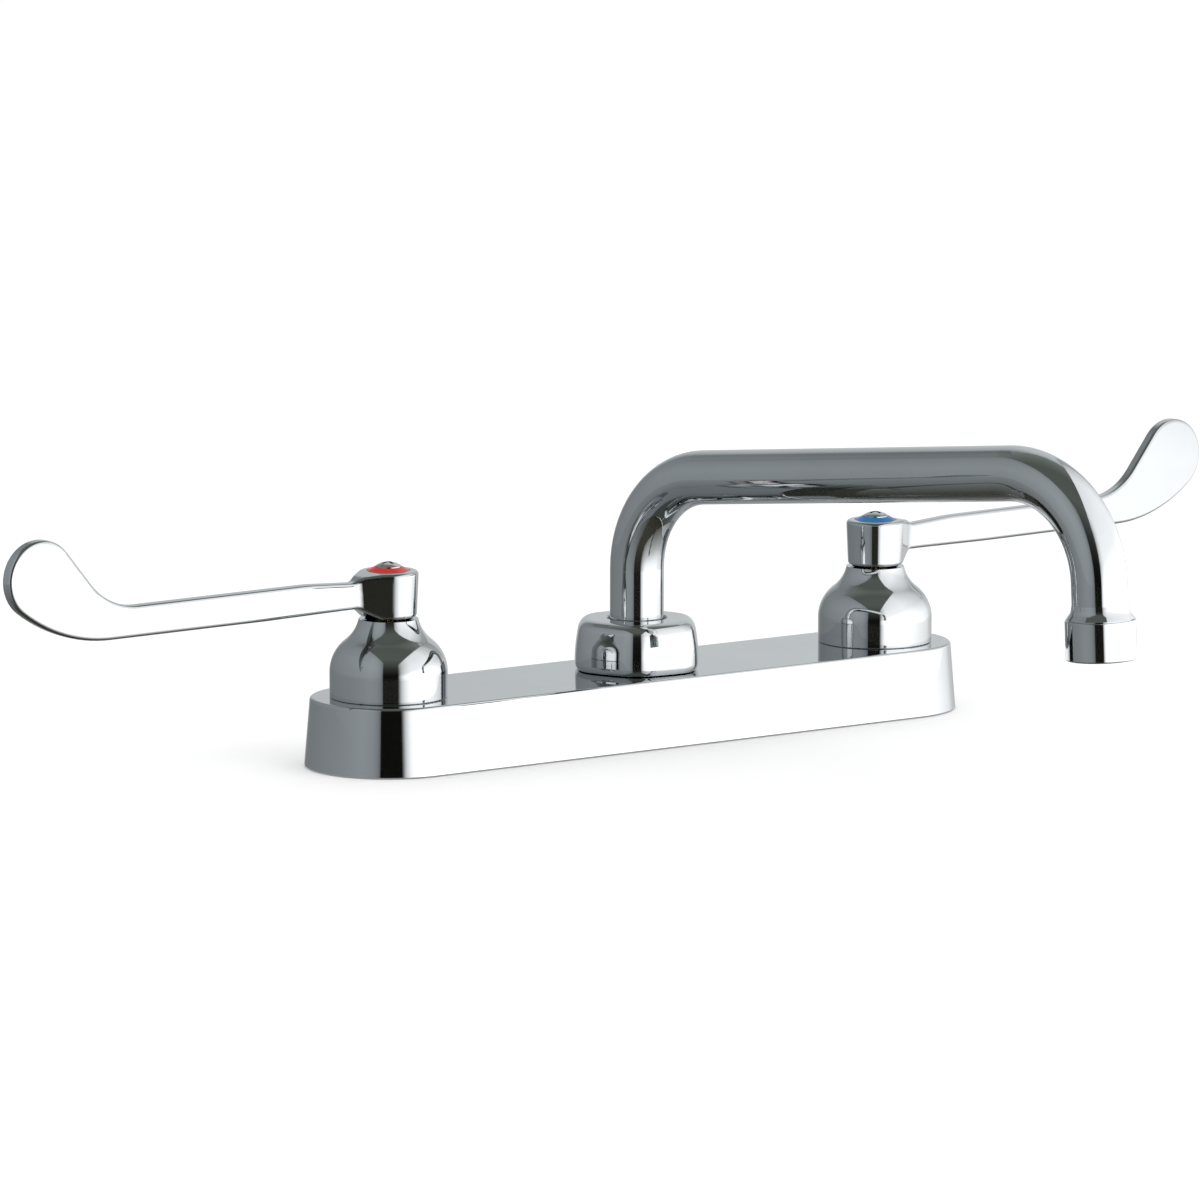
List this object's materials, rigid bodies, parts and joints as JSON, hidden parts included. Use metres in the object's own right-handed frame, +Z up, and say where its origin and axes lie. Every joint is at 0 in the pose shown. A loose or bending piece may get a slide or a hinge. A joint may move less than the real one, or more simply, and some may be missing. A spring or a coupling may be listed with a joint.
{
  "type": "commercial deck-mount faucet",
  "caption": "Low-bodied sink faucet for a deck, with bell bonnets, long wrist-blade handles on quarter-turn valves, and a bent tube spout that swings and ends in an aerator.",
  "frame": {"origin": "centre of the body's underside, on the deck and on the spout's axis", "axes": "+X runs along the body to the cold handle, -Y points to the user, +Z is up"},
  "size_m": [0.5106, 0.2387, 0.1145],
  "materials": {
    "chrome_casting": "polished chrome on cast brass",
    "chrome_handle": "polished chrome on forged brass",
    "chrome_spout": "polished chrome on drawn brass tube",
    "chrome_screw": "bright plated steel screw",
    "valve_brass": "machined",
    "foot_brass": "machined",
    "clip_steel": "spring steel",
    "disc_ceramic": "lapped",
    "seal_rubber": "smooth",
    "deck_gasket_rubber": "matt",
    "bush_plastic": "moulded",
    "aerator_plastic": "moulded",
    "hot_index_red": "gloss",
    "cold_index_blue": "gloss"
  },
  "bodies": {
    "base": {"body_casting": "chrome_casting", "deck_gasket": "deck_gasket_rubber", "spout_nut": "chrome_casting", "spout_bushing": "bush_plastic", "spout_washer": "bush_plastic", "hot_bonnet": "chrome_casting", "hot_cartridge_body": "valve_brass", "hot_cartridge_o_ring": "seal_rubber", "hot_gland_nut": "valve_brass", "hot_fixed_disc": "disc_ceramic", "hot_seat_seal": "seal_rubber", "cold_bonnet": "chrome_casting", "cold_cartridge_body": "valve_brass", "cold_cartridge_o_ring": "seal_rubber", "cold_gland_nut": "valve_brass", "cold_fixed_disc": "disc_ceramic", "cold_seat_seal": "seal_rubber"},
    "spout": {"spout_tube": "chrome_spout", "spout_foot": "foot_brass", "spout_o_ring_lower": "seal_rubber", "spout_o_ring_upper": "seal_rubber", "outlet_adapter": "chrome_spout", "aerator_housing": "chrome_spout", "aerator_insert": "aerator_plastic", "aerator_washer": "seal_rubber"},
    "hot_lever": {"hot_handle": "chrome_handle", "hot_index_ring": "hot_index_red", "hot_handle_screw": "chrome_screw", "hot_stem": "valve_brass", "hot_stem_o_ring_lower": "seal_rubber", "hot_stem_o_ring_upper": "seal_rubber", "hot_stem_clip": "clip_steel", "hot_moving_disc": "disc_ceramic"},
    "cold_lever": {"cold_handle": "chrome_handle", "cold_index_ring": "cold_index_blue", "cold_handle_screw": "chrome_screw", "cold_stem": "valve_brass", "cold_stem_o_ring_lower": "seal_rubber", "cold_stem_o_ring_upper": "seal_rubber", "cold_stem_clip": "clip_steel", "cold_moving_disc": "disc_ceramic"}
  },
  "joints": [
    {"name": "hot_handle_turn", "type": "hinge", "parent": "base", "child": "hot_lever", "pos_m": [-0.1016, 0, 0.0494], "axis": [0, 0, 1], "range_deg": [0, 90]},
    {"name": "cold_handle_turn", "type": "hinge", "parent": "base", "child": "cold_lever", "pos_m": [0.1016, 0, 0.0494], "axis": [0, 0, 1], "range_deg": [-90, 0]},
    {"name": "spout_swing", "type": "hinge", "parent": "base", "child": "spout", "pos_m": [0, 0, 0.033], "axis": [0, 0, 1], "range_deg": [-91.5, 68.5]}
  ]
}
